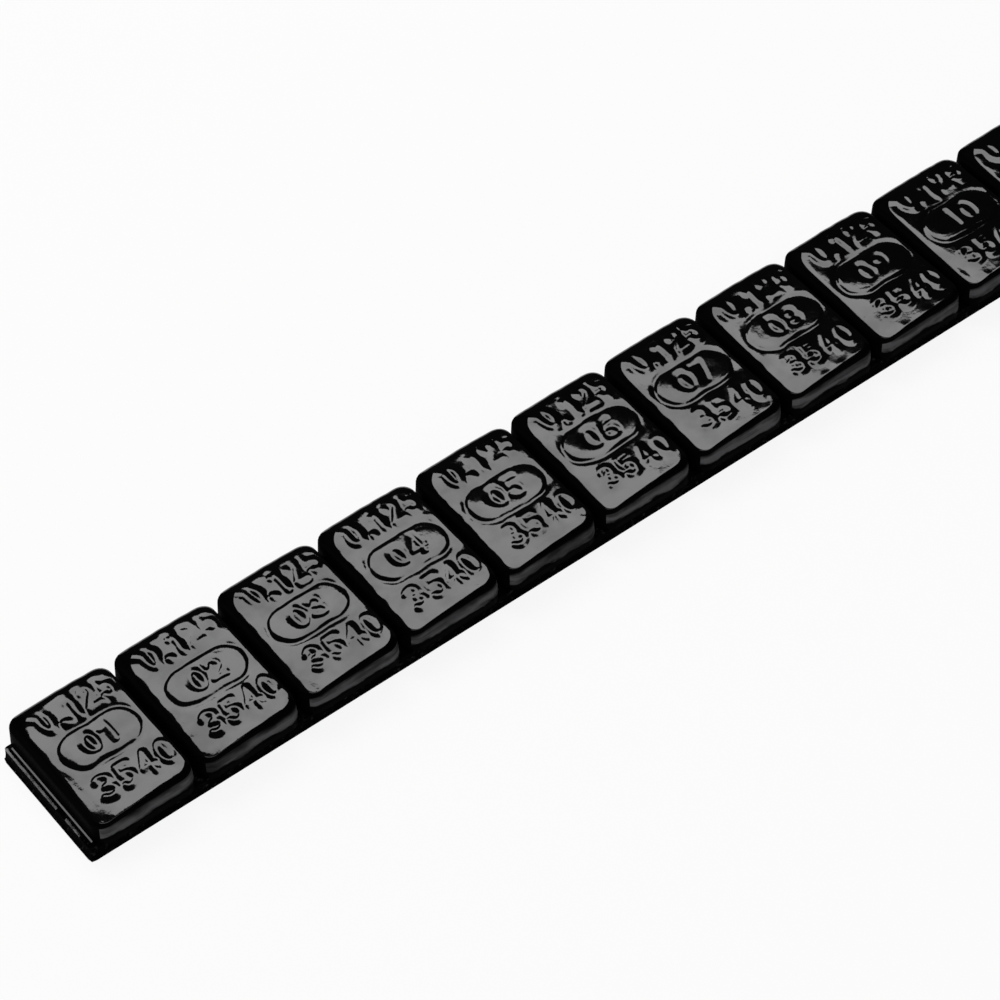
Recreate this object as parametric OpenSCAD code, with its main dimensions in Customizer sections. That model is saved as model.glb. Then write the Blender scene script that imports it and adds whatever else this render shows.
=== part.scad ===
// Stick-on wheel balance weight: a coated lead casting of small segments joined by thin webs,
// on a foam tape with its release liner still on.
// The strip lies flat: X runs along it, Y across it, and Z is up from the liner's underside.

/* [Strip] */
// Number of segments cast in one strip
segment_count = 12; // [2:1:16]
// Distance from one segment to the next
pitch = 9.8; // [7:0.1:16]

/* [Casting] */
// Width of the casting across the strip, at its foot
cast_w = 13.1; // [9:0.1:20]
// Height of a segment above the tape
cast_h = 2.65; // [1.5:0.05:5]
// Groove between two segments, at their feet
groove_w = 0.35; // [0.15:0.05:1.2]
// Radius of a segment's upright corners, at its foot
corner_r = 1.4; // [0.8:0.05:3]
// Radius of the rounded edge round a segment's top
edge_r = 0.48; // [0.1:0.02:0.9]
// Lean of a segment's side walls from upright, in degrees
draft = 2; // [0:0.25:8]

/* [Web] */
// Thickness of the thin web that joins two segments
web_t = 0.6; // [0.2:0.05:1.2]
// Distance from the casting's long side to the end of a web
web_inset = 1.6; // [1.4:0.1:4]

/* [Tape] */
// Thickness of the foam tape
tape_t = 1.2; // [0.5:0.05:2]
// Distance that the tape lies inside the casting's long sides
tape_inset = 0.2; // [0:0.05:2]
// Length of tape that shows past each end of the casting
tape_end = 0.45; // [0:0.05:3]

/* [Release liner] */
// Thickness of the liner under the tape
liner_t = 0.13; // [0.05:0.01:0.4]
// Width by which the liner stands out past the tape all round
liner_edge = 0.05; // [0:0.05:2]

/* [Hidden] */
$fn = 48;

// Lengths along the strip
segment_l = pitch - groove_w;
cast_l = segment_count * pitch - groove_w;
tape_l = cast_l + 2 * tape_end;
tape_w = cast_w - 2 * tape_inset;
liner_l = tape_l + 2 * liner_edge;
liner_w = tape_w + 2 * liner_edge;

// Heights, from the liner's underside up
tape_z = liner_t;
cast_z = tape_z + tape_t;

// Centre of the edge rounding, out from the axis of an upright corner and up from the foot
edge_z = cast_h - edge_r;
edge_x = corner_r - edge_z * tan(draft) - edge_r / cos(draft);

// A web reaches into both of its segments as far as their corner radius
web_l = groove_w + 2 * corner_r;
web_w = cast_w - 2 * web_inset;

weight_strip_colour = [0.06, 0.06, 0.07];
foam_tape_colour = [0.13, 0.13, 0.13];
release_liner_colour = [0.22, 0.22, 0.24];

// Wall of a segment in section, from the axis of an upright corner out to the leaning side:
// the side runs up into a rounded edge, which runs into the flat top.
module wall_section() {
    polygon([
        [0, 0],
        [corner_r, 0],
        [edge_x + edge_r * cos(draft), edge_z + edge_r * sin(draft)],
        [edge_x, edge_z],
        [edge_x, cast_h],
        [0, cast_h]
    ]);
    intersection() {
        translate([edge_x, edge_z]) circle(r = edge_r);
        translate([edge_x, edge_z]) square(edge_r);
    }
}

// A straight wall of the given length, centred on Y, with its side facing +X
module straight_wall(length) {
    translate([0, length / 2, 0]) rotate([90, 0, 0]) linear_extrude(height = length) wall_section();
}

// A quarter turn of the wall, facing +X and +Y
module corner_wall() {
    rotate_extrude(angle = 90) wall_section();
}

// One segment with its foot at z = 0: a core with walls along its sides and round its corners
module segment() {
    core_l = segment_l - 2 * corner_r;
    core_w = cast_w - 2 * corner_r;
    translate([-core_l / 2, -core_w / 2, 0]) cube([core_l, core_w, cast_h]);
    for (side = [0, 180]) {
        rotate([0, 0, side]) translate([core_l / 2, 0, 0]) straight_wall(core_w);
        rotate([0, 0, side + 90]) translate([core_w / 2, 0, 0]) straight_wall(core_l);
        rotate([0, 0, side]) translate([core_l / 2, core_w / 2, 0]) corner_wall();
        rotate([0, 0, side + 90]) translate([core_w / 2, core_l / 2, 0]) corner_wall();
    }
}

// The thin web across one groove, with its underside level with the segments' feet
module web() {
    translate([-web_l / 2, -web_w / 2, 0]) cube([web_l, web_w, web_t]);
}

// The whole casting: segments in a row, and a web at each groove between them
module weight_strip() {
    first_x = -(segment_count - 1) * pitch / 2;
    color(weight_strip_colour) translate([0, 0, cast_z]) {
        for (i = [0 : segment_count - 1]) {
            translate([first_x + i * pitch, 0, 0]) segment();
        }
        for (i = [1 : segment_count - 1]) {
            translate([first_x + (i - 0.5) * pitch, 0, 0]) web();
        }
    }
}

// The foam tape, cut square at its ends
module foam_tape() {
    color(foam_tape_colour) translate([-tape_l / 2, -tape_w / 2, tape_z]) cube([tape_l, tape_w, tape_t]);
}

// The liner that is peeled off before the strip is stuck to a wheel
module release_liner() {
    color(release_liner_colour) translate([-liner_l / 2, -liner_w / 2, 0]) cube([liner_l, liner_w, liner_t]);
}

weight_strip();
foam_tape();
release_liner();
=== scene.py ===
"""Looks of a stick-on wheel balance weight: a coated casting on foam tape, with its liner."""

import math

import bpy
import numpy as np
from mathutils import Matrix, Quaternion, Vector


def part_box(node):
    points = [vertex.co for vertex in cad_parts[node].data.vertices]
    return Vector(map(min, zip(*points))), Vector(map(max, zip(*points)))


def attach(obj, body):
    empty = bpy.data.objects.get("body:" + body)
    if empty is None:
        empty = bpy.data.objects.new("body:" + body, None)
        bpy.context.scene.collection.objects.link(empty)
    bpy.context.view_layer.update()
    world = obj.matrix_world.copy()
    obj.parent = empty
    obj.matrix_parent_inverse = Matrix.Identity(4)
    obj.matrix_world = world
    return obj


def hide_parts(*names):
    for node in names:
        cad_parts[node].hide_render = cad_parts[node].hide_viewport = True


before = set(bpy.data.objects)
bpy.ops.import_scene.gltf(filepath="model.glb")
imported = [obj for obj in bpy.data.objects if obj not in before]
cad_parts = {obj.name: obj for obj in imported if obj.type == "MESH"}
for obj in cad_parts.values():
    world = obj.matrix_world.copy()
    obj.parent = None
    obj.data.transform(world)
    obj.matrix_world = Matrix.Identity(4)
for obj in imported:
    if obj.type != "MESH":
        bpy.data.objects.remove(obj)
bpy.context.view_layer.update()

bl_info = {
    "name": "Wheel balance weight strip",
    "version": (1, 0, 0),
    "blender": (4, 5, 0),
    "location": "3D View > Sidebar > Balance weight",
    "description": "Dresses the packed strip of cast weights, its foam tape and its liner",
    "category": "Object",
}

STRIP_LOW, STRIP_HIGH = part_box("weight_strip")
TAPE_LOW, TAPE_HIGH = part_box("foam_tape")
LINER_LOW, LINER_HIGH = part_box("release_liner")
MM = 0.001


# Digits as centre lines in a cell one unit high and DIGIT_WIDTH wide

DIGIT_WIDTH = 0.62
POINT_WIDTH = 0.26
DIGIT_GAP = 0.17
ARC_STEP = 20
FEWEST_STEPS = 4


def arc(centre_x, centre_y, radius_x, radius_y, start, end):
    """Points on an elliptical arc between two angles in degrees."""
    steps = max(FEWEST_STEPS, int(abs(end - start) / ARC_STEP))
    turns = np.radians(np.linspace(start, end, steps + 1))
    return [(centre_x + radius_x * math.cos(t), centre_y + radius_y * math.sin(t)) for t in turns]


DIGITS = {
    "0": [arc(0.31, 0.50, 0.25, 0.44, 0, 360)],
    "1": [[(0.14, 0.76), (0.36, 0.94), (0.36, 0.06)]],
    "2": [arc(0.31, 0.70, 0.24, 0.24, 165, -35) + [(0.07, 0.06), (0.57, 0.06)]],
    "3": [arc(0.29, 0.72, 0.23, 0.22, 150, -90), arc(0.29, 0.28, 0.26, 0.22, 90, -150)],
    "4": [[(0.42, 0.94), (0.06, 0.32), (0.58, 0.32)], [(0.42, 0.94), (0.42, 0.06)]],
    "5": [[(0.54, 0.94), (0.14, 0.94), (0.11, 0.56)] + arc(0.29, 0.33, 0.26, 0.27, 125, -150)],
    "6": [arc(0.31, 0.30, 0.25, 0.24, 0, 360), arc(0.56, 0.34, 0.50, 0.58, 175, 100)],
    "7": [[(0.07, 0.94), (0.57, 0.94), (0.24, 0.06)]],
    "8": [arc(0.31, 0.72, 0.21, 0.22, 0, 360), arc(0.31, 0.28, 0.25, 0.22, 0, 360)],
    "9": [arc(0.31, 0.70, 0.25, 0.24, 0, 360), arc(0.06, 0.66, 0.50, 0.58, -5, -80)],
    ".": [[(0.12, 0.07), (0.14, 0.07)]],
}


def number_lines(text, centre, height, width, turn):
    """Centre lines of a number, fitted to a width and turned about its centre."""
    cells = [POINT_WIDTH if c == "." else DIGIT_WIDTH for c in text]
    natural = sum(cells) + DIGIT_GAP * (len(text) - 1)
    stretch = width / natural
    cos_turn, sin_turn = math.cos(turn), math.sin(turn)
    lines, start = [], -natural / 2
    for character, cell in zip(text, cells):
        for stroke in DIGITS[character]:
            points = []
            for x, y in stroke:
                across = (start + x) * stretch
                along = (y - 0.5) * height
                points.append((
                    centre[0] + across * cos_turn - along * sin_turn,
                    centre[1] + across * sin_turn + along * cos_turn,
                ))
            lines.append(points)
        start += cell + DIGIT_GAP
    return lines


# Heights over a plane

# Keeps a division from zero
TINY = 1e-9

# Shortest and longest waves of a ripple, as shares of its wavelength
RIPPLE_LENGTHS = (0.7, 1.6)


def offset_from_lines(x, y, lines):
    """Distance of every point to the nearest of some centre lines, and its direction from there."""
    nearest = np.full(x.shape, np.inf)
    off_x, off_y = np.zeros_like(x), np.zeros_like(x)
    for line in lines:
        for (ax, ay), (bx, by) in zip(line[:-1], line[1:]):
            dx, dy = bx - ax, by - ay
            share = np.clip(((x - ax) * dx + (y - ay) * dy) / (dx * dx + dy * dy), 0, 1)
            rx, ry = x - ax - share * dx, y - ay - share * dy
            distance = np.hypot(rx, ry)
            closer = distance < nearest
            nearest = np.where(closer, distance, nearest)
            off_x, off_y = np.where(closer, rx, off_x), np.where(closer, ry, off_y)
    return nearest, off_x / (nearest + TINY), off_y / (nearest + TINY)


def soft_step(value):
    """Smooth rise from 0 to 1."""
    t = np.clip(value, 0, 1)
    return t * t * (3 - 2 * t)


def facing(to_x, to_y, side):
    """How far a direction faces a side: 1 towards it and 0 away from it, with a smooth change."""
    return soft_step(0.5 + 0.5 * (side[0] * to_x + side[1] * to_y))


def between(pair, share):
    """Value between the two of a pair."""
    return pair[0] + (pair[1] - pair[0]) * share


def ripple(x, y, wavelength, seed, waves=9):
    """Gentle random swell of about unit height over a plane."""
    rng = np.random.default_rng(seed)
    total = np.zeros_like(x)
    for _ in range(waves):
        turn = rng.uniform(0, 2 * math.pi)
        length = wavelength * rng.uniform(*RIPPLE_LENGTHS)
        phase = rng.uniform(0, 2 * math.pi)
        total += np.sin((x * math.cos(turn) + y * math.sin(turn)) * 2 * math.pi / length + phase)
    return total / math.sqrt(waves)


# Sizes and colours

class StripLook(bpy.types.PropertyGroup):
    """Sizes and finish of the coated casting"""
    segment_count: bpy.props.IntProperty(
        name="Segments", description="Number of segments in the strip", default=12, min=1)
    groove: bpy.props.FloatProperty(
        name="Groove", description="Gap between two segments at their feet",
        default=0.35 * MM, unit="LENGTH")
    corner_radius: bpy.props.FloatVectorProperty(
        name="Corner radius",
        description="Radius of the upright corners, in the order of the top corners",
        size=4, default=(1.35 * MM, 1.35 * MM, 1.1 * MM, 1.1 * MM), unit="LENGTH")
    rounding: bpy.props.FloatVectorProperty(
        name="Rounding",
        description="Width of the rounding of a top's edges: left, right, near and far",
        size=4, default=(0.88 * MM, 0.44 * MM, 0.34 * MM, 1.18 * MM), unit="LENGTH")
    rounding_drop: bpy.props.FloatVectorProperty(
        name="Rounding drop", description="Height of the same four roundings",
        size=4, default=(0.72 * MM, 0.44 * MM, 0.50 * MM, 0.60 * MM), unit="LENGTH")
    left_skew: bpy.props.FloatProperty(
        name="Left skew", description="How far the flat's left side leans in at the far end",
        default=0.45 * MM, unit="LENGTH")
    near_skew: bpy.props.FloatProperty(
        name="Near skew", description="How far the flat's near side leans in at the right end",
        default=0.32 * MM, unit="LENGTH")
    far_bow: bpy.props.FloatProperty(
        name="Far bow", description="How far the far side falls back toward its corners",
        default=0.12 * MM, unit="LENGTH")
    lip: bpy.props.FloatVectorProperty(
        name="Lip",
        description="Thin lip at the foot of the strip's ends: width, height and distance"
                    " from the sides",
        size=3, default=(0.11 * MM, 0.11 * MM, 0.9 * MM), unit="LENGTH")
    top_corners: bpy.props.FloatVectorProperty(
        name="Top corners",
        description="Corner radii of the flat: near left, near right, far right, far left",
        size=4, default=(0.8 * MM, 1.5 * MM, 0.9 * MM, 2.4 * MM), unit="LENGTH")
    draft: bpy.props.FloatProperty(
        name="Draft", description="Lean of the side walls",
        default=math.radians(2), subtype="ANGLE")
    crown: bpy.props.FloatProperty(
        name="Crown", description="Rise of a top's middle over its edge",
        default=0.05 * MM, unit="LENGTH")
    corner_fall: bpy.props.FloatProperty(
        name="Corner fall", description="How far a top falls toward its near left corner",
        default=0.15 * MM, unit="LENGTH")
    bulge: bpy.props.FloatVectorProperty(
        name="Bulge", description="How far the coat stands out on the near and the far side",
        size=2, default=(0.08 * MM, 0.24 * MM), unit="LENGTH")
    swell: bpy.props.FloatProperty(
        name="Swell", description="Unevenness of the coat on the tops",
        default=0.010 * MM, unit="LENGTH")
    web_thickness: bpy.props.FloatProperty(
        name="Web", description="Thickness of the web between segments",
        default=0.6 * MM, unit="LENGTH")
    web_inset: bpy.props.FloatProperty(
        name="Web inset", description="Distance from the long side to the web's end",
        default=1.6 * MM, unit="LENGTH")
    relief: bpy.props.FloatProperty(
        name="Relief", description="Height of the raised marks",
        default=0.105 * MM, unit="LENGTH")
    stroke_top: bpy.props.FloatVectorProperty(
        name="Stroke top",
        description="Half width of a stroke's top, in the far row and in the rest",
        size=2, default=(0.19 * MM, 0.12 * MM), unit="LENGTH")
    flank: bpy.props.FloatVectorProperty(
        name="Flank", description="Width of a mark's flank on its steep and on its run-out side",
        size=2, default=(0.19 * MM, 0.50 * MM), unit="LENGTH")
    hollow: bpy.props.FloatVectorProperty(
        name="Hollow",
        description="Depth of the hollow round the pad, and width of its outer slope",
        size=2, default=(0.06 * MM, 0.75 * MM), unit="LENGTH")
    pad_size: bpy.props.FloatVectorProperty(
        name="Pad size",
        description="Length and width of the raised pad in the middle, without its flanks",
        size=2, default=(6.7 * MM, 3.3 * MM), unit="LENGTH")
    pad_dome: bpy.props.FloatProperty(
        name="Pad dome",
        description="Fall of the pad from its middle to its rim, as a share of its height",
        default=0.3)
    pad_flank: bpy.props.FloatVectorProperty(
        name="Pad flank",
        description="Width of the pad's flank on its far right and on its near left",
        size=2, default=(0.16 * MM, 0.42 * MM), unit="LENGTH")
    pad_share: bpy.props.FloatProperty(
        name="Pad height", description="Height of the pad as a share of the marks' height",
        default=1.1)
    count_depth: bpy.props.FloatProperty(
        name="Count depth",
        description="Depth of the count in the pad, as a share of the pad's height",
        default=0.9)
    far_number: bpy.props.StringProperty(
        name="Far number", description="Plain number along the far side", default="0.125")
    near_number: bpy.props.StringProperty(
        name="Near number", description="Plain number along the near side", default="3540")
    cell: bpy.props.FloatProperty(
        name="Mesh cell", description="Spacing of the tops' mesh",
        default=0.128 * MM, unit="LENGTH")
    coat: bpy.props.FloatVectorProperty(
        name="Coat", description="Colour of the coat",
        subtype="COLOR", default=(0.0009, 0.0009, 0.0010))
    haze: bpy.props.FloatProperty(
        name="Haze", description="Share of the reflection that is left where the coat is hazed",
        default=0.78)
    # Colour of the painted reflection of the floor: a streaky grey band at half height on the near
    # walls
    painted_sheen: bpy.props.FloatVectorProperty(
        name="Painted_sheen", description="Colour of the painted_sheen_streaks on the near walls",
        subtype="COLOR", default=(0.078, 0.078, 0.081))


class TapeLook(bpy.types.PropertyGroup):
    """Sizes and finish of the foam tape and its liner"""
    side_depth: bpy.props.FloatProperty(
        name="Side depth", description="Unevenness of the cut sides",
        default=0.03 * MM, unit="LENGTH")
    splay: bpy.props.FloatVectorProperty(
        name="Splay", description="How far the tape's ends stand out at its top and at its foot",
        size=2, default=(0.12 * MM, 0.27 * MM), unit="LENGTH")
    far_inset: bpy.props.FloatProperty(
        name="Far inset", description="How far the tape lies back from the casting on the far side",
        default=0.25 * MM, unit="LENGTH")
    skin: bpy.props.FloatProperty(
        name="Skin", description="Width of the glossy film along the tape's top edge",
        default=0.2 * MM, unit="LENGTH")
    skin_ends: bpy.props.FloatVectorProperty(
        name="Skin ends",
        description="Where the film's two lengths start and end, as shares of the tape's"
                    " half width",
        size=4, default=(-0.68, -0.38, -0.2, 0.92))
    waist: bpy.props.FloatProperty(
        name="Waist", description="How far the foam's sides draw in",
        default=0.05 * MM, unit="LENGTH")
    tape_corner: bpy.props.FloatProperty(
        name="Tape corner", description="Radius of the tape's upright corners",
        default=0.25 * MM, unit="LENGTH")
    liner_corner: bpy.props.FloatProperty(
        name="Liner corner", description="Radius of the liner's corners",
        default=0.3 * MM, unit="LENGTH")
    foam: bpy.props.FloatVectorProperty(
        name="Foam", description="Colour of the foam",
        subtype="COLOR", default=(0.0018, 0.0018, 0.0018))
    liner: bpy.props.FloatVectorProperty(
        name="Liner", description="Colour of the liner",
        subtype="COLOR", default=(0.0022, 0.0022, 0.0024))


class StageLook(bpy.types.PropertyGroup):
    """Floor, lights and camera"""
    floor_size: bpy.props.FloatProperty(
        name="Floor", description="Side of the floor", default=6.0, unit="LENGTH")
    floor_colour: bpy.props.FloatVectorProperty(
        name="Floor colour", description="Colour of the floor",
        subtype="COLOR", default=(0.9, 0.9, 0.9))
    key_power: bpy.props.FloatProperty(
        name="Key light", description="Power of the large soft light", default=1.85, unit="POWER")
    fill_power: bpy.props.FloatProperty(
        name="Fill light", description="Power of the broad light behind the camera",
        default=5.4, unit="POWER")
    side_power: bpy.props.FloatProperty(
        name="Side light", description="Power of the light at the far left",
        default=2.4, unit="POWER")
    surround: bpy.props.FloatProperty(
        name="Surround", description="Strength of the dim room round the stage", default=0.015)


# Meshes

def rounded_grid(box, corners, count_x, count_y):
    """Grid that fills a rounded rectangle: x, y and the outward direction at its rim.

    The box is left, right, near, far. The corners are near left, near right, far right, far left.
    """
    left, right, near, far = box
    x, y = np.meshgrid(np.linspace(left, right, count_x + 1),
                       np.linspace(near, far, count_y + 1), indexing="ij")
    mid_x, mid_y = (left + right) / 2, (near + far) / 2
    half_x, half_y = (right - left) / 2, (far - near) / 2
    side_x, side_y = np.where(x < mid_x, -1.0, 1.0), np.where(y < mid_y, -1.0, 1.0)
    near_left, near_right, far_right, far_left = corners
    radius = np.where(side_y < 0, np.where(side_x < 0, near_left, near_right),
                      np.where(side_x < 0, far_left, far_right))
    across = np.clip(np.abs(x - mid_x) - (half_x - radius), 0, None) / radius
    along = np.clip(np.abs(y - mid_y) - (half_y - radius), 0, None) / radius
    out_x = across * np.sqrt(1 - along ** 2 / 2)
    out_y = along * np.sqrt(1 - across ** 2 / 2)
    bent_x = mid_x + side_x * (half_x - radius + radius * out_x)
    bent_y = mid_y + side_y * (half_y - radius + radius * out_y)
    return (np.where(across > 0, bent_x, x), np.where(along > 0, bent_y, y),
            side_x * out_x, side_y * out_y)


def rim_order(count_x, count_y):
    """Grid places round the rim, anticlockwise from the lowest corner."""
    rim = [(i, 0) for i in range(count_x)]
    rim += [(count_x, j) for j in range(count_y)]
    rim += [(i, count_y) for i in range(count_x, 0, -1)]
    rim += [(0, j) for j in range(count_y, 0, -1)]
    return np.array(rim)


def rim_points(box, corners, count_x, count_y):
    """Outline of a rounded rectangle with its outward direction, in the rim's order."""
    rim = rim_order(count_x, count_y)
    return [values[rim[:, 0], rim[:, 1]] for values in rounded_grid(box, corners, count_x, count_y)]


def grid_faces(count_x, count_y):
    """Quads of a grid."""
    faces = []
    for i in range(count_x):
        for j in range(count_y):
            a = i * (count_y + 1) + j
            faces.append((a, a + count_y + 1, a + count_y + 2, a + 1))
    return faces


def ring_faces(upper, lower):
    """Quads between two rings of equal length, the upper one first."""
    count = len(upper)
    return [(upper[k], lower[k], lower[(k + 1) % count], upper[(k + 1) % count])
            for k in range(count)]


def halving_faces(upper, lower):
    """Triangles between a ring and one with every second point, the fine ring on top."""
    count = len(lower)
    faces = []
    for k in range(count):
        a, b, c = upper[2 * k], upper[2 * k + 1], upper[(2 * k + 2) % len(upper)]
        d, e = lower[k], lower[(k + 1) % count]
        faces += [(a, d, b), (b, d, e), (b, e, c)]
    return faces


def join_shapes(shapes):
    """One shape from several, each with its points, faces, smooth flag and the faces' materials."""
    points, faces, smooth, slots, used = [], [], [], [], 0
    for shape_points, shape_faces, is_smooth, shape_slots in shapes:
        points.append(shape_points)
        faces += [tuple(v + used for v in face) for face in shape_faces]
        smooth += [is_smooth] * len(shape_faces)
        slots += shape_slots
        used += len(shape_points)
    return np.concatenate(points), faces, smooth, slots


def build_object(name, points, faces, smooth=None, slots=None):
    """Mesh object from points in metres, with each face's smooth flag and material number."""
    mesh = bpy.data.meshes.new(name)
    mesh.from_pydata([tuple(p) for p in points], [], faces)
    mesh.polygons.foreach_set("use_smooth", smooth or [False] * len(faces))
    mesh.polygons.foreach_set("material_index", slots or [0] * len(faces))
    mesh.update()
    piece = bpy.data.objects.new(name, mesh)
    bpy.context.scene.collection.objects.link(piece)
    return piece


# Marks on the tops

# A row's middle in X and Y, its height and its width, as shares of a segment's length
FAR_ROW = (0.07, 0.47, 0.255, 0.72)
NEAR_ROW = (0.085, -0.385, 0.25, 0.72)
PAD_MIDDLE = (0.04, 0.04)
COUNT_SIZE = (0.22, 0.32)

# How much the marks move, in millimetres, and turn, in radians, from segment to segment
MARK_SHIFT = 0.05
MARK_TURN = 0.012
MARK_SEED = 40

# The coat runs out to a stroke's near right, and the pad's gentle side is its near left
RUN_OUT_SIDE = (0.55, -0.83)
GENTLE_SIDE = (-0.55, -0.83)

# Height of the far row as a share of the near one's, and fall of a stroke's crest
FAR_SHARE = 1.1
CREST_FALL = 0.2

# The hollow is shallower and narrower on the gentle side, and the dome's fall ends past the rim
HOLLOW_SHARES = (1.5, 0.75)
OUTER_SHARES = (1.0, 0.6)
DOME_REACH = 1.1

# The marks' lines wander, and the coat fills some marks more than others
WANDER = 0.05 * MM
WANDER_LENGTH = 2.2 * MM
WANDER_SEEDS = (300, 500)
FILL_LENGTH = 5.0 * MM
FILL_LEVEL, FILL_CHANGE = 0.84, 0.24
FILL_RANGE = (0.35, 1.0)
FILL_SEED = 700


def segment_marks(look, index, length):
    """Centre lines of one segment's marks, set a little askew from segment to segment."""
    rng = np.random.default_rng(MARK_SEED + index)

    def askew(x, y):
        return (x * length + rng.normal(0, MARK_SHIFT) * MM,
                y * length + rng.normal(0, MARK_SHIFT) * MM)

    def row(text, x, y, height, width):
        middle, turn = askew(x, y), rng.normal(0, MARK_TURN)
        return number_lines(text, middle, height * length, width * length, turn)

    far = row(look.far_number, *FAR_ROW)
    near = row(look.near_number, *NEAR_ROW)
    middle = askew(*PAD_MIDDLE)
    height, width = COUNT_SIZE
    count = number_lines("%02d" % (index + 1), middle, height * length, width * length, 0)
    return far, near, middle, count


def mark_section(look, distance, to_x, to_y, half_width):
    """Rise of a coated stroke as a share of its height: a rounded crest with straight flanks."""
    crest = 1 - CREST_FALL * np.clip(distance / half_width, 0, 1) ** 2
    flank = between(look.flank, facing(to_x, to_y, RUN_OUT_SIDE))
    return crest * (1 - np.clip((distance - half_width) / flank, 0, 1))


def pad_section(look, x, y, middle):
    """Rise of the domed pad and depth of the hollow round it, each as a share of its own size."""
    half_length, half_width = look.pad_size[0] / 2, look.pad_size[1] / 2
    reach = half_length - half_width
    line = [(middle[0] - reach, middle[1]), (middle[0] + reach, middle[1])]
    distance, to_x, to_y = offset_from_lines(x, y, [line])
    dome = ((x - middle[0]) / half_length) ** 2 + ((y - middle[1]) / half_width) ** 2
    gentle = facing(to_x, to_y, GENTLE_SIDE) ** 2
    flank = between(look.pad_flank, gentle)
    down = np.clip((distance - half_width) / flank, 0, 1)
    outer = look.hollow[1] * between(OUTER_SHARES, gentle)
    filled_in = soft_step((distance - half_width - flank) / outer)
    hollow = between(HOLLOW_SHARES, gentle) * down * (1 - filled_in)
    return (1 - down) * (1 - look.pad_dome * np.clip(dome, 0, DOME_REACH) ** 2), hollow


def top_relief(look, x, y, index, length):
    """Height of the marks over a segment's flat top."""
    far, near, middle, count = segment_marks(look, index, length)
    px = x + WANDER * ripple(x, y, WANDER_LENGTH, WANDER_SEEDS[0] + index)
    py = y + WANDER * ripple(x, y, WANDER_LENGTH, WANDER_SEEDS[1] + index)
    distance, to_x, to_y = offset_from_lines(px, py, count)
    sunken = mark_section(look, distance, -to_x, -to_y, look.stroke_top[1])
    rise, hollow = pad_section(look, px, py, middle)
    rise *= look.pad_share * (1 - look.count_depth * sunken)
    rows = ((far, FAR_SHARE, look.stroke_top[0]), (near, 1.0, look.stroke_top[1]))
    for lines, share, half_width in rows:
        stroke = mark_section(look, *offset_from_lines(px, py, lines), half_width)
        rise = np.maximum(rise, share * stroke)
    uneven = ripple(x, y, FILL_LENGTH, FILL_SEED + index)
    filled = np.clip(FILL_LEVEL + FILL_CHANGE * uneven, *FILL_RANGE)
    return (look.relief * rise - look.hollow[0] * hollow * (1 - np.clip(rise, 0, 1))) * filled


# Segments

# Turns of the rounding's rings in degrees, and the walls' rings as shares of the way down
ROUNDING_TURNS = (10, 20, 31, 43, 57, 73, 90)
WALL_SHARES = (0.35, 0.7, 1.0)

# The coat is dull on the left and near sides, below this turn of the rounding
DULL_TURN = 20
NEAR_FACING = -0.7
LEFT_FACING = -0.5
# The third material is the dull coat with a painted reflection of the floor as a grey band
GLOSSY, DULL, SHEEN_PAINTED = 0, 1, 2

# The crown's top line lies to the left, and its fall is shared out in X and in Y
CROWN_LINE = 0.3
CROWN_ACROSS, CROWN_ALONG = 0.35, 0.65

# A top's left margin, near left corner and border, in shares of its half sizes
MARGIN_START, MARGIN_WIDTH, MARGIN_FALL = 0.62, 0.38, 0.8
CORNER_START, CORNER_REACH, CORNER_POWER = 0.5, 1.5, 1.5
BORDER_START, BORDER_WIDTH, BORDER_POWER = 0.8, 0.2, 1.4

# The marks fade at the border, where the coat has a finer swell of its own
BORDER_FADE = 0.6
SWELL_LENGTH, SWELL_SEED = 3.0 * MM, 100
BORDER_LENGTH, BORDER_SEED = 1.5 * MM, 200

# The coated tops start this far under the solid's top, and webs and lips this far over its foot
TOP_SINK = 0.02 * MM
BAR_RISE = 0.01 * MM


def side_share(out_x, out_y, sides):
    """Value at a rim point from the values of the left, right, near and far sides."""
    left, right, near, far = sides
    return (left * np.clip(-out_x, 0, 1) ** 2 + right * np.clip(out_x, 0, 1) ** 2
            + near * np.clip(-out_y, 0, 1) ** 2 + far * np.clip(out_y, 0, 1) ** 2)


def top_height(look, x, y, flat, index, length):
    """Height of a segment's coated top over its rim level, marks included."""
    left, right, near, far = flat
    across = (2 * x - left - right) / (right - left)
    along = (2 * y - near - far) / (far - near)
    crown = CROWN_ACROSS * (across + CROWN_LINE) ** 2 + CROWN_ALONG * along ** 4
    height = -look.crown * crown
    margin = np.clip((-across - MARGIN_START) / MARGIN_WIDTH, 0, None)
    height -= MARGIN_FALL * look.crown * margin ** 2
    corner = np.clip((-across - along - CORNER_START) / CORNER_REACH, 0, 1)
    height -= look.corner_fall * corner ** CORNER_POWER
    height += look.swell * ripple(x, y, SWELL_LENGTH, SWELL_SEED + index)
    outermost = np.maximum(np.abs(across), np.abs(along) ** BORDER_POWER)
    border = soft_step((outermost - BORDER_START) / BORDER_WIDTH)
    height += look.swell * border * ripple(x, y, BORDER_LENGTH, BORDER_SEED + index)
    return height + top_relief(look, x, y, index, length) * (1 - BORDER_FADE * border)


def bend_outline(look, x, y, half_x, half_y, skews=(0, 0)):
    """Bows the far side of an outline, and leans its left and its near side by the skews."""
    back = look.far_bow * (x / half_x) ** 2 * np.clip(y / half_y, 0, 1) ** 2
    lean_x = skews[0] * (y / half_y) * np.clip(-x / half_x, 0, 1)
    lean_y = skews[1] * (x / half_x) * np.clip(-y / half_y, 0, 1)
    return x + lean_x, y + lean_y - back


def segment_boxes(look, half_x, half_y, height):
    """Boxes of a segment's flat top, its shoulder and its foot: left, right, near and far."""
    foot = np.array([-half_x, half_x, -half_y - look.bulge[0], half_y + look.bulge[1]])
    outward = np.array([-1, 1, -1, 1])
    shoulder = foot - outward * height * math.tan(look.draft)
    return shoulder - outward * np.array(look.rounding), shoulder, foot


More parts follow.
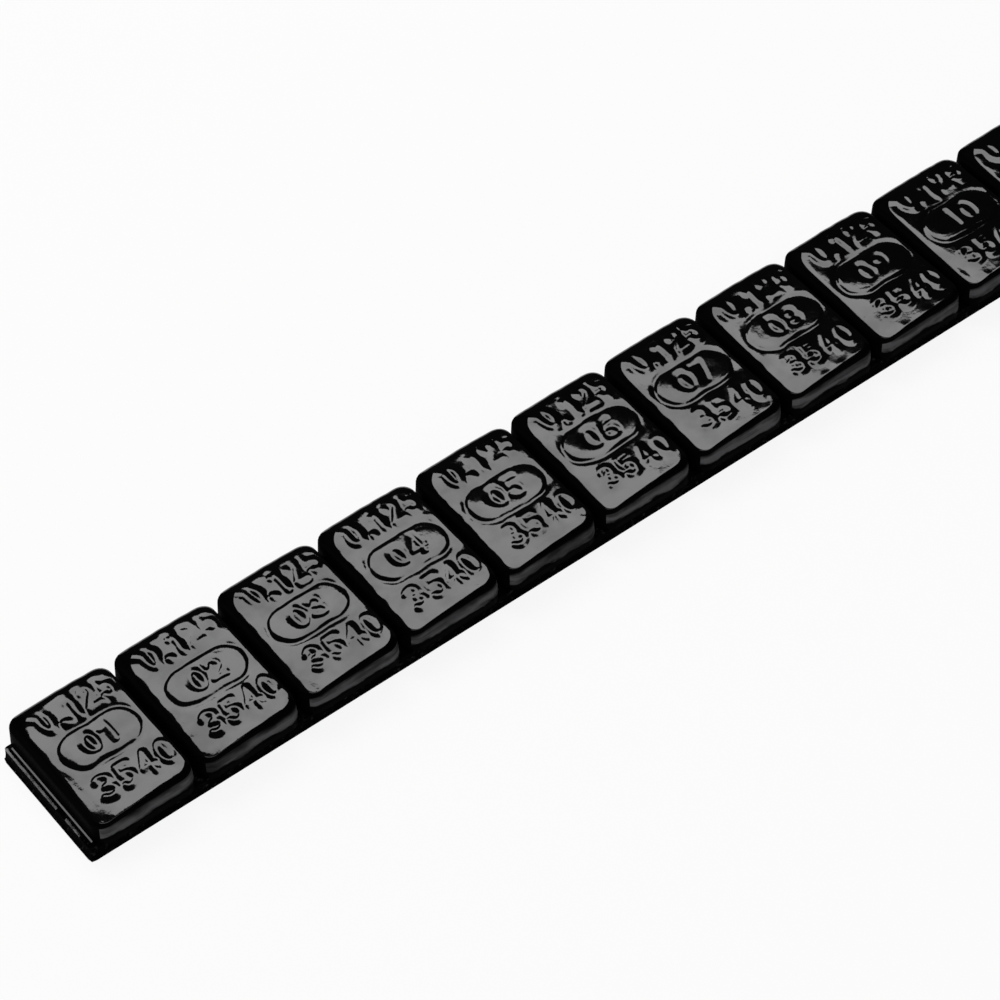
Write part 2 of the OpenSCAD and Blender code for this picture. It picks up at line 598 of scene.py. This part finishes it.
def side_rings(inner, drop, shoulder, foot, foot_z):
    """Rings of points down a segment's side, with every second point of the top's rim."""
    rings = []
    for turn in ROUNDING_TURNS:
        out, down = math.sin(math.radians(turn)), 1 - math.cos(math.radians(turn))
        place = inner[:, :2] + (shoulder - inner[:, :2]) * out
        rings.append(np.column_stack([place, inner[:, 2] - drop * down])[::2])
    for share in WALL_SHARES:
        place = shoulder + (foot - shoulder) * share
        level = (inner[:, 2] - drop) * (1 - share) + foot_z * share
        rings.append(np.column_stack([place, level])[::2])
    return rings


def side_slots(out_x, out_y):
    """Materials round each ring of a segment's side, from the outward directions at its points."""
    near_side = out_y < NEAR_FACING
    dull_and_streaked = near_side | (out_x < LEFT_FACING)
    rounding = [np.where(dull_and_streaked & (turn > DULL_TURN), DULL, GLOSSY) for turn in ROUNDING_TURNS]
    # The near walls take the coat with the painted reflection of the floor
    wall = np.where(near_side, SHEEN_PAINTED, np.where(dull_and_streaked, DULL, GLOSSY))
    return rounding + [wall] * len(WALL_SHARES)


def segment_shape(look, index, half_x, half_y, foot_z, top_z):
    """Points, faces and each face's material of one coated segment about its own centre."""
    flat_box, shoulder_box, foot_box = segment_boxes(look, half_x, half_y, top_z - foot_z)
    count_x = 2 * round((flat_box[1] - flat_box[0]) / 2 / look.cell)
    count_y = 2 * round((flat_box[3] - flat_box[2]) / 2 / look.cell)
    x, y, out_x, out_y = rounded_grid(flat_box, np.array(look.top_corners), count_x, count_y)
    x, y = bend_outline(look, x, y, half_x, half_y, (look.left_skew, look.near_skew))
    z = top_z + top_height(look, x, y, flat_box, index, 2 * half_x)
    rim = rim_order(count_x, count_y)
    inner = np.stack([grid[rim[:, 0], rim[:, 1]] for grid in (x, y, z)], axis=1)
    rim_x, rim_y = out_x[rim[:, 0], rim[:, 1]], out_y[rim[:, 0], rim[:, 1]]
    outlines = []
    for box in (shoulder_box, foot_box):
        ox, oy, _, _ = rim_points(box, np.array(look.corner_radius), count_x, count_y)
        outlines.append(np.stack(bend_outline(look, ox, oy, half_x, half_y), axis=1))
    drop = side_share(rim_x, rim_y, look.rounding_drop)
    rings = side_rings(inner, drop, *outlines, foot_z)
    points = [np.stack([x.ravel(), y.ravel(), z.ravel()], axis=1)]
    faces = grid_faces(count_x, count_y)
    slots = [GLOSSY] * len(faces)
    upper, used = (rim[:, 0] * (count_y + 1) + rim[:, 1]).tolist(), x.size
    for ring, ring_slots in zip(rings, side_slots(rim_x[::2], rim_y[::2])):
        lower = list(range(used, used + len(ring)))
        join = ring_faces if len(upper) == len(lower) else halving_faces
        fresh = join(upper, lower)
        slots += np.repeat(ring_slots, len(fresh) // len(lower)).tolist()
        points.append(ring)
        faces += fresh
        used += len(ring)
        upper = lower
    faces.append(tuple(reversed(upper)))
    slots.append(DULL)
    return np.concatenate(points), faces, slots


def bar_shape(low, high, bevel):
    """Points and faces of a plain bar, its top drawn in by the bevel at both ends of X."""
    points = [(x, y, z) for z, cut in ((low[2], 0), (high[2], bevel))
              for x, y in ((low[0] + cut, low[1]), (high[0] - cut, low[1]),
                           (high[0] - cut, high[1]), (low[0] + cut, high[1]))]
    faces = [(3, 2, 1, 0), (4, 5, 6, 7), (0, 1, 5, 4), (1, 2, 6, 5), (2, 3, 7, 6), (3, 0, 4, 7)]
    return np.array(points), faces


def web_bars(look, pitch, half_y, foot_z):
    """Webs across the grooves between the segments, each as its low corner and its high corner."""
    reach = look.groove / 2 + max(look.corner_radius)
    side = half_y - look.web_inset
    bars = []
    for index in range(1, look.segment_count):
        middle = STRIP_LOW[0] - look.groove / 2 + index * pitch
        bars.append(((middle - reach, -side, foot_z + BAR_RISE),
                     (middle + reach, side, foot_z + look.web_thickness)))
    return bars


def lip_bars(look, half_y, foot_z):
    """Lips at the foot of the strip's two ends, each as its low corner and its high corner."""
    width, height, inset = look.lip
    side = half_y - inset
    return [((end_x - width, -side, foot_z + BAR_RISE), (end_x + width, side, foot_z + height))
            for end_x in (STRIP_LOW[0], STRIP_HIGH[0])]


def coated_casting(look):
    """The whole casting as one mesh: every segment with its marks, the webs and the end lips."""
    pitch = (STRIP_HIGH[0] - STRIP_LOW[0] + look.groove) / look.segment_count
    half_x = (pitch - look.groove) / 2
    half_y = (STRIP_HIGH[1] - STRIP_LOW[1]) / 2
    foot_z, top_z = STRIP_LOW[2], STRIP_HIGH[2] - TOP_SINK
    shapes = []
    for index in range(look.segment_count):
        centre = STRIP_LOW[0] + half_x + index * pitch
        points, faces, slots = segment_shape(look, index, half_x, half_y, foot_z, top_z)
        shapes.append((points + np.array([centre, 0, 0]), faces, True, slots))
    for bars, bevel, slot in ((web_bars(look, pitch, half_y, foot_z), 0, DULL),
                              (lip_bars(look, half_y, foot_z), look.lip[0], GLOSSY)):
        for low, high in bars:
            points, faces = bar_shape(low, high, bevel)
            shapes.append((points, faces, False, [slot] * len(faces)))
    return build_object("coated_casting", *join_shapes(shapes))


# Tape and liner

# The cut sides' roughness, and each slab's mesh spacing, rings and seed
ROUGH_LENGTH = 0.9 * MM
ROUGH_SLANT = 2.0
TAPE_CELL, TAPE_LEVELS, TAPE_SEED = 0.25 * MM, 6, 21
LINER_CELL, LINER_LEVELS, LINER_SEED = 0.5 * MM, 2, 33
LINER_SIDE_DEPTH = 0.01 * MM


def slab_shape(low, high, corner, cell, levels, side_depth, waist, splay, far_inset, seed,
               skin=0, skin_ends=(0, 0, 0, 0)):
    """Points, faces and each face's material of a flat slab with round corners and uneven sides.

    The slab is about its own centre. A skin is a strip of the second material along the top's
    edge at its ends, in two lengths whose starts and ends are shares of the half width.
    """
    half_x, half_y = (high[0] - low[0]) / 2, (high[1] - low[1]) / 2
    count_x = 2 * round(half_x / cell)
    count_y = 2 * round(half_y / cell)
    rings, faces = [], []
    insets = [(1, skin), (1, 0)] if skin else [(1, 0)]
    insets += [(share, 0) for share in np.linspace(1, 0, levels)[1:]]
    for share, inset in insets:
        z = low[2] + (high[2] - low[2]) * share
        end = half_x + splay[0] * share + splay[1] * (1 - share) - inset
        box = np.array([-end, end, -half_y + inset, half_y - far_inset - inset])
        x, y, out_x, out_y = rim_points(box, np.full(4, corner), count_x, count_y)
        rough = ripple(x, y + ROUGH_SLANT * z, ROUGH_LENGTH, seed)
        draw = waist * 4 * share * (1 - share) + side_depth * np.clip(1 + rough / 2, 0, 2) / 2
        rings.append(np.stack([x - draw * out_x, y - draw * out_y, np.full_like(x, z)], axis=1))
    count = len(rings[0])
    ids = [list(range(k * count, (k + 1) * count)) for k in range(len(rings))]
    for upper, lower in zip(ids[:-1], ids[1:]):
        faces += ring_faces(upper, lower)
    place = rings[0][:, 1] / half_y
    film = (np.abs(rings[0][:, 0]) > half_x - skin) & (
        (place > skin_ends[0]) & (place < skin_ends[1])
        | (place > skin_ends[2]) & (place < skin_ends[3]))
    slots = [0] * len(faces)
    if skin:
        slots[:count] = film.astype(int).tolist()
    faces += [tuple(ids[0]), tuple(reversed(ids[-1]))]
    return np.concatenate(rings), faces, slots + [0, 0]


def slab_object(name, low, high, shape):
    """Object of a slab's shape, centred on the box from its low to its high corner."""
    points, faces, slots = shape
    middle = (np.array(low) + np.array(high)) / 2
    return build_object(name, points + np.array([middle[0], middle[1], 0]), faces, slots=slots)


# Materials

# Painted reflection of the floor down a near wall, as a streaky grey band: each place as a share of
# the casting's height, with its strength
SHEEN_START, SHEEN_END = 0.27, 0.88
SHEEN_BAND = ((0.34, 0.6), (0.44, 1.0), (0.57, 0.75), (0.68, 0.35), (0.80, 0.08))
MATT_SPECULAR = 0.003
SATIN_SPECULAR = 0.01
WHITE = (1, 1, 1)

# Brightness of the floor to the camera, and in the coat's reflections
FLOOR_SEEN = 0.87
FLOOR_MIRRORED = 0.12


def new_material(name):
    """A node material with its main shader, as (material, nodes, links, shader)."""
    material = bpy.data.materials.new(name)
    material.use_nodes = True
    nodes, links = material.node_tree.nodes, material.node_tree.links
    return material, nodes, links, nodes["Principled BSDF"]


def shade(colour, share):
    """A colour with every part multiplied by a share."""
    return tuple(share * part for part in colour)


def add_noise(nodes, links, scale, detail, stretch=(1, 1, 1)):
    """Noise over the object's own coordinates, in metres, and optionally stretched."""
    place = nodes.new("ShaderNodeTexCoord")
    mapping = nodes.new("ShaderNodeMapping")
    mapping.inputs["Scale"].default_value = stretch
    noise = nodes.new("ShaderNodeTexNoise")
    noise.inputs["Scale"].default_value = scale
    noise.inputs["Detail"].default_value = detail
    links.new(place.outputs["Object"], mapping.inputs["Vector"])
    links.new(mapping.outputs["Vector"], noise.inputs["Vector"])
    return noise.outputs["Fac"]


def add_range(nodes, links, source, low, high):
    """Maps a 0 to 1 value on to a range."""
    span = nodes.new("ShaderNodeMapRange")
    span.inputs["To Min"].default_value = low
    span.inputs["To Max"].default_value = high
    links.new(source, span.inputs["Value"])
    return span.outputs["Result"]


def add_bump(nodes, links, source, distance, strength, below=None):
    """A bump of a given depth in metres, on top of another one."""
    bump = nodes.new("ShaderNodeBump")
    bump.inputs["Distance"].default_value = distance
    bump.inputs["Strength"].default_value = strength
    links.new(source, bump.inputs["Height"])
    if below:
        links.new(below, bump.inputs["Normal"])
    return bump.outputs["Normal"]


def tint(nodes, links, source, dark, light, start=0.3, end=0.7):
    """Colour that wanders between two tones."""
    ramp = nodes.new("ShaderNodeValToRGB")
    ramp.color_ramp.elements[0].position = start
    ramp.color_ramp.elements[1].position = end
    ramp.color_ramp.elements[0].color = (*dark, 1)
    ramp.color_ramp.elements[1].color = (*light, 1)
    links.new(source, ramp.inputs["Fac"])
    return ramp.outputs["Color"]


def combine(nodes, links, operation, first, second):
    """Two varying values joined by a sum, a product or the greater of both."""
    joined = nodes.new("ShaderNodeMath")
    joined.operation = operation
    links.new(first, joined.inputs[0])
    links.new(second, joined.inputs[1])
    return joined.outputs["Value"]


def coat_material(look):
    """Thick glossy black coat: fine orange peel, faint sags and small changes of gloss."""
    material, nodes, links, shader = new_material("black_coat")
    patches = add_noise(nodes, links, scale=180, detail=3)
    colour = tint(nodes, links, patches, tuple(look.coat), shade(look.coat, 1.8))
    links.new(colour, shader.inputs["Base Color"])
    gloss = add_noise(nodes, links, scale=900, detail=4)
    links.new(add_range(nodes, links, gloss, low=0.02, high=0.10), shader.inputs["Roughness"])
    shader.inputs["IOR"].default_value = 1.50
    clouds = add_noise(nodes, links, scale=380, detail=5)
    hazed = tint(nodes, links, clouds, shade(WHITE, look.haze), WHITE, start=0.34, end=0.56)
    links.new(hazed, shader.inputs["Specular Tint"])
    peel = add_noise(nodes, links, scale=2600, detail=3)
    sags = add_noise(nodes, links, scale=260, detail=2, stretch=(1, 1, 3.5))
    soft = add_bump(nodes, links, sags, distance=0.06 * MM, strength=0.35)
    bump = add_bump(nodes, links, peel, distance=0.008 * MM, strength=0.6, below=soft)
    links.new(bump, shader.inputs["Normal"])
    return material


def painted_sheen_band(nodes, links):
    """Strength of the painted floor reflection by height on the walls: a ragged band at half
    height.
    """
    place = nodes.new("ShaderNodeTexCoord")
    parts = nodes.new("ShaderNodeSeparateXYZ")
    links.new(place.outputs["Object"], parts.inputs["Vector"])
    height = nodes.new("ShaderNodeMapRange")
    height.inputs["From Min"].default_value = STRIP_LOW[2]
    height.inputs["From Max"].default_value = STRIP_HIGH[2]
    links.new(parts.outputs["Z"], height.inputs["Value"])
    ragged = add_noise(nodes, links, scale=420, detail=4, stretch=(1, 1, 2.5))
    shift = add_range(nodes, links, ragged, low=-0.28, high=0.28)
    band = nodes.new("ShaderNodeValToRGB")
    stops = band.color_ramp.elements
    stops[0].position, stops[0].color = SHEEN_START, (0, 0, 0, 1)
    stops[1].position, stops[1].color = SHEEN_END, (0, 0, 0, 1)
    for position, tone in SHEEN_BAND:
        stops.new(position).color = (tone, tone, tone, 1)
    links.new(combine(nodes, links, "ADD", height.outputs["Result"], shift), band.inputs["Fac"])
    return band.outputs["Color"]


def wall_material(look, name, painted_sheen):
    """Dull black coat of the side walls, with a streaky band at half height in the given colour, a
    painted reflection of the floor where that colour is lighter than the coat.
    """
    material, nodes, links, shader = new_material(name)
    shader.inputs["Specular IOR Level"].default_value = MATT_SPECULAR
    grain = add_noise(nodes, links, scale=2200, detail=3)
    links.new(add_range(nodes, links, grain, low=0.30, high=0.50), shader.inputs["Roughness"])
    streaks = add_noise(nodes, links, scale=650, detail=6, stretch=(0.3, 1, 3))
    blotches = add_noise(nodes, links, scale=230, detail=3, stretch=(1, 1, 1.6))
    # Streaks and blotches break up the painted reflection band
    dull_and_streaked = combine(nodes, links, "MULTIPLY",
                   add_range(nodes, links, streaks, low=-0.4, high=2.2),
                   add_range(nodes, links, blotches, low=-0.7, high=2.9))
    share = combine(nodes, links, "MULTIPLY", painted_sheen_band(nodes, links), dull_and_streaked)
    colour = nodes.new("ShaderNodeMix")
    colour.data_type = "RGBA"
    colour.inputs["A"].default_value = (*look.coat, 1)
    colour.inputs["B"].default_value = (*painted_sheen, 1)
    links.new(share, colour.inputs["Factor"])
    links.new(colour.outputs["Result"], shader.inputs["Base Color"])
    bump = add_bump(nodes, links, streaks, distance=0.03 * MM, strength=0.5)
    links.new(bump, shader.inputs["Normal"])
    return material


def foam_material(look):
    """Closed-cell foam: dull, with small cut cells; the small bright spots in its colour are
    painted glints.
    """
    material, nodes, links, shader = new_material("black_foam")
    # Spots up to nine times the foam's colour are painted glints on the cut sides
    patches = add_noise(nodes, links, scale=2500, detail=4)
    colour = tint(nodes, links, patches, shade(look.foam, 0.5), shade(look.foam, 9),
                  start=0.58, end=0.74)
    links.new(colour, shader.inputs["Base Color"])
    shader.inputs["Roughness"].default_value = 0.6
    shader.inputs["Specular IOR Level"].default_value = MATT_SPECULAR
    place = nodes.new("ShaderNodeTexCoord")
    cells = nodes.new("ShaderNodeTexVoronoi")
    cells.inputs["Scale"].default_value = 6500
    links.new(place.outputs["Object"], cells.inputs["Vector"])
    bump = add_bump(nodes, links, cells.outputs["Distance"], distance=0.05 * MM, strength=0.8)
    links.new(bump, shader.inputs["Normal"])
    return material


def skin_material(look):
    """Glossy film along the tape's top edge, broken by wrinkles."""
    material, nodes, links, shader = new_material("tape_skin")
    shader.inputs["Base Color"].default_value = (*look.foam, 1)
    gloss = add_noise(nodes, links, scale=1200, detail=3)
    links.new(add_range(nodes, links, gloss, low=0.12, high=0.35), shader.inputs["Roughness"])
    wrinkles = add_noise(nodes, links, scale=450, detail=3)
    bump = add_bump(nodes, links, wrinkles, distance=0.35 * MM, strength=0.5)
    links.new(bump, shader.inputs["Normal"])
    return material


def liner_material(look):
    """Thin dark film with a satin face."""
    material, nodes, links, shader = new_material("dark_film")
    patches = add_noise(nodes, links, scale=300, detail=3)
    colour = tint(nodes, links, patches, shade(look.liner, 0.7), shade(look.liner, 1.3))
    links.new(colour, shader.inputs["Base Color"])
    shader.inputs["Specular IOR Level"].default_value = SATIN_SPECULAR
    links.new(add_range(nodes, links, patches, low=0.30, high=0.45), shader.inputs["Roughness"])
    creases = add_noise(nodes, links, scale=500, detail=2)
    bump = add_bump(nodes, links, creases, distance=0.03 * MM, strength=0.3)
    links.new(bump, shader.inputs["Normal"])
    return material


def floor_material(look):
    """Pale floor that shows white to the eye and in reflections, and keeps the object's shadow."""
    material, nodes, links, shader = new_material("pale_floor")
    shader.inputs["Base Color"].default_value = (*look.floor_colour, 1)
    shader.inputs["Roughness"].default_value = 0.9
    shader.inputs["Specular IOR Level"].default_value = 0.0
    glow = nodes.new("ShaderNodeEmission")
    glow.inputs["Color"].default_value = (*WHITE, 1)
    path = nodes.new("ShaderNodeLightPath")
    total = None
    for ray, share in (("Is Camera Ray", FLOOR_SEEN), ("Is Glossy Ray", FLOOR_MIRRORED),
                       ("Is Transmission Ray", FLOOR_SEEN)):
        part = nodes.new("ShaderNodeMath")
        part.operation = "MULTIPLY"
        part.inputs[1].default_value = share
        links.new(path.outputs[ray], part.inputs[0])
        seen = part.outputs["Value"]
        total = combine(nodes, links, "MAXIMUM", total, seen) if total else seen
    mix = nodes.new("ShaderNodeMixShader")
    links.new(total, mix.inputs["Fac"])
    links.new(shader.outputs["BSDF"], mix.inputs[1])
    links.new(glow.outputs["Emission"], mix.inputs[2])
    links.new(mix.outputs["Shader"], nodes["Material Output"].inputs["Surface"])
    return material


# Stage

# The camera stands at the photograph's angle, and the key light where the first tops mirror it
VIEW_TARGET = Vector((-13.32 * MM, 2.62 * MM, 0))
VIEW_AZIMUTH = math.radians(-35.265)
VIEW_ELEVATION = math.radians(50.155)
VIEW_ROLL = math.radians(-2.874)
VIEW_DISTANCE = 305.74 * MM
VIEW_FOCAL = 134.36
SENSOR_WIDTH = 36
CLIP_RANGE = (0.01, 50)

KEY_PLACE = Vector((0.108, 0.332, 0.5))
KEY_WIDTH = 0.25
KEY_DEPTH = 0.49
KEY_TURN = math.radians(34)
FILL_PLACE = Vector((-0.333, -0.471, 0.691))
FILL_SIDE = 1.0
SIDE_PLACE = Vector((-0.600, 0.405, 0.340))
SIDE_SIDE = 0.5


def add_camera():
    """Camera at the photograph's angle."""
    cos_azimuth, sin_azimuth = math.cos(VIEW_AZIMUTH), math.sin(VIEW_AZIMUTH)
    cos_elevation = math.cos(VIEW_ELEVATION)
    back = Vector((sin_azimuth * cos_elevation, -cos_azimuth * cos_elevation,
                   math.sin(VIEW_ELEVATION)))
    right = Vector((cos_azimuth, sin_azimuth, 0))
    up = back.cross(right)
    side = math.cos(VIEW_ROLL) * right + math.sin(VIEW_ROLL) * up
    above = -math.sin(VIEW_ROLL) * right + math.cos(VIEW_ROLL) * up
    data = bpy.data.cameras.new("photo_camera")
    data.lens = VIEW_FOCAL
    data.sensor_width = SENSOR_WIDTH
    data.clip_start, data.clip_end = CLIP_RANGE
    camera = bpy.data.objects.new("photo_camera", data)
    turn = Matrix((side, above, back)).transposed().to_4x4()
    camera.matrix_world = Matrix.Translation(VIEW_TARGET + back * VIEW_DISTANCE) @ turn
    bpy.context.scene.collection.objects.link(camera)
    bpy.context.scene.camera = camera


def add_panel_light(name, place, turn, width, depth, power):
    """Rectangular soft light that isn't seen itself."""
    data = bpy.data.lights.new(name, "AREA")
    data.shape = "RECTANGLE"
    data.size, data.size_y = width, depth
    data.energy = power
    lamp = bpy.data.objects.new(name, data)
    lamp.location = place
    lamp.rotation_mode = "QUATERNION"
    lamp.rotation_quaternion = turn
    lamp.visible_camera = False
    bpy.context.scene.collection.objects.link(lamp)


def add_aimed_light(name, place, side, power):
    """Square soft light that shines at the origin."""
    add_panel_light(name, place, place.to_track_quat("Z", "Y"), side, side, power)


def add_world(look):
    """Dim even room."""
    world = bpy.data.worlds.new("dim_room")
    world.use_nodes = True
    ground = world.node_tree.nodes["Background"]
    ground.inputs["Color"].default_value = (*WHITE, 1)
    ground.inputs["Strength"].default_value = look.surround
    bpy.context.scene.world = world


def add_floor(look):
    """Plain floor under the liner."""
    half = look.floor_size / 2
    corners = [(-half, -half, 0), (half, -half, 0), (half, half, 0), (-half, half, 0)]
    floor = build_object("floor", corners, [(0, 1, 2, 3)])
    floor.data.materials.append(floor_material(look))


# Operators, one for each piece and one for the stage

class BuildCasting(bpy.types.Operator):
    """Builds the coated casting with its raised marks"""
    bl_idname = "balance_weight.casting"
    bl_label = "Coated casting"

    def execute(self, context):
        look = context.scene.strip_look
        piece = coated_casting(look)
        piece.data.materials.append(coat_material(look))
        piece.data.materials.append(wall_material(look, "dull_coat", look.coat))
        # Near walls: dull coat with a painted reflection of the floor as a streaky grey band
        piece.data.materials.append(wall_material(look, "sheen_painted_coat", look.painted_sheen))
        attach(piece, "root")
        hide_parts("weight_strip")
        return {"FINISHED"}


class BuildTape(bpy.types.Operator):
    """Builds the foam tape"""
    bl_idname = "balance_weight.tape"
    bl_label = "Foam tape"

    def execute(self, context):
        look = context.scene.tape_look
        shape = slab_shape(TAPE_LOW, TAPE_HIGH, look.tape_corner, TAPE_CELL, TAPE_LEVELS,
                           look.side_depth, look.waist, look.splay, look.far_inset, TAPE_SEED,
                           look.skin, tuple(look.skin_ends))
        piece = slab_object("foam_layer", TAPE_LOW, TAPE_HIGH, shape)
        piece.data.materials.append(foam_material(look))
        piece.data.materials.append(skin_material(look))
        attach(piece, "root")
        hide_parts("foam_tape")
        return {"FINISHED"}


class BuildLiner(bpy.types.Operator):
    """Builds the release liner"""
    bl_idname = "balance_weight.liner"
    bl_label = "Release liner"

    def execute(self, context):
        look = context.scene.tape_look
        splay = (look.splay[1], look.splay[1])
        shape = slab_shape(LINER_LOW, LINER_HIGH, look.liner_corner, LINER_CELL, LINER_LEVELS,
                           LINER_SIDE_DEPTH, 0, splay, look.far_inset, LINER_SEED)
        piece = slab_object("liner_film", LINER_LOW, LINER_HIGH, shape)
        piece.data.materials.append(liner_material(look))
        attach(piece, "root")
        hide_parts("release_liner")
        return {"FINISHED"}


class BuildStage(bpy.types.Operator):
    """Builds the floor, the lights and the camera"""
    bl_idname = "balance_weight.stage"
    bl_label = "Stage"

    def execute(self, context):
        look = context.scene.stage_look
        add_floor(look)
        add_world(look)
        level = Quaternion((0, 0, 1), KEY_TURN)
        add_panel_light("key_light", KEY_PLACE, level, KEY_WIDTH, KEY_DEPTH, look.key_power)
        add_aimed_light("fill_light", FILL_PLACE, FILL_SIDE, look.fill_power)
        add_aimed_light("side_light", SIDE_PLACE, SIDE_SIDE, look.side_power)
        add_camera()
        context.scene.view_settings.view_transform = "Standard"
        return {"FINISHED"}


STEPS = (BuildStage, BuildCasting, BuildTape, BuildLiner)
GROUPS = {"strip_look": StripLook, "tape_look": TapeLook, "stage_look": StageLook}


class BalanceWeightPanel(bpy.types.Panel):
    """Lists the pieces of the strip and the stage"""
    bl_idname = "VIEW3D_PT_balance_weight"
    bl_label = "Balance weight"
    bl_space_type = "VIEW_3D"
    bl_region_type = "UI"
    bl_category = "Balance weight"

    def draw(self, context):
        for operator in STEPS:
            self.layout.operator(operator.bl_idname)


def register():
    for group in GROUPS.values():
        bpy.utils.register_class(group)
    for name, group in GROUPS.items():
        setattr(bpy.types.Scene, name, bpy.props.PointerProperty(type=group))
    for operator in STEPS:
        bpy.utils.register_class(operator)
    bpy.utils.register_class(BalanceWeightPanel)


def unregister():
    bpy.utils.unregister_class(BalanceWeightPanel)
    for operator in reversed(STEPS):
        bpy.utils.unregister_class(operator)
    for name in GROUPS:
        delattr(bpy.types.Scene, name)
    for group in GROUPS.values():
        bpy.utils.unregister_class(group)


def main():
    register()
    bpy.ops.balance_weight.stage()
    bpy.ops.balance_weight.casting()
    bpy.ops.balance_weight.tape()
    bpy.ops.balance_weight.liner()


if __name__ == "__main__":
    main()
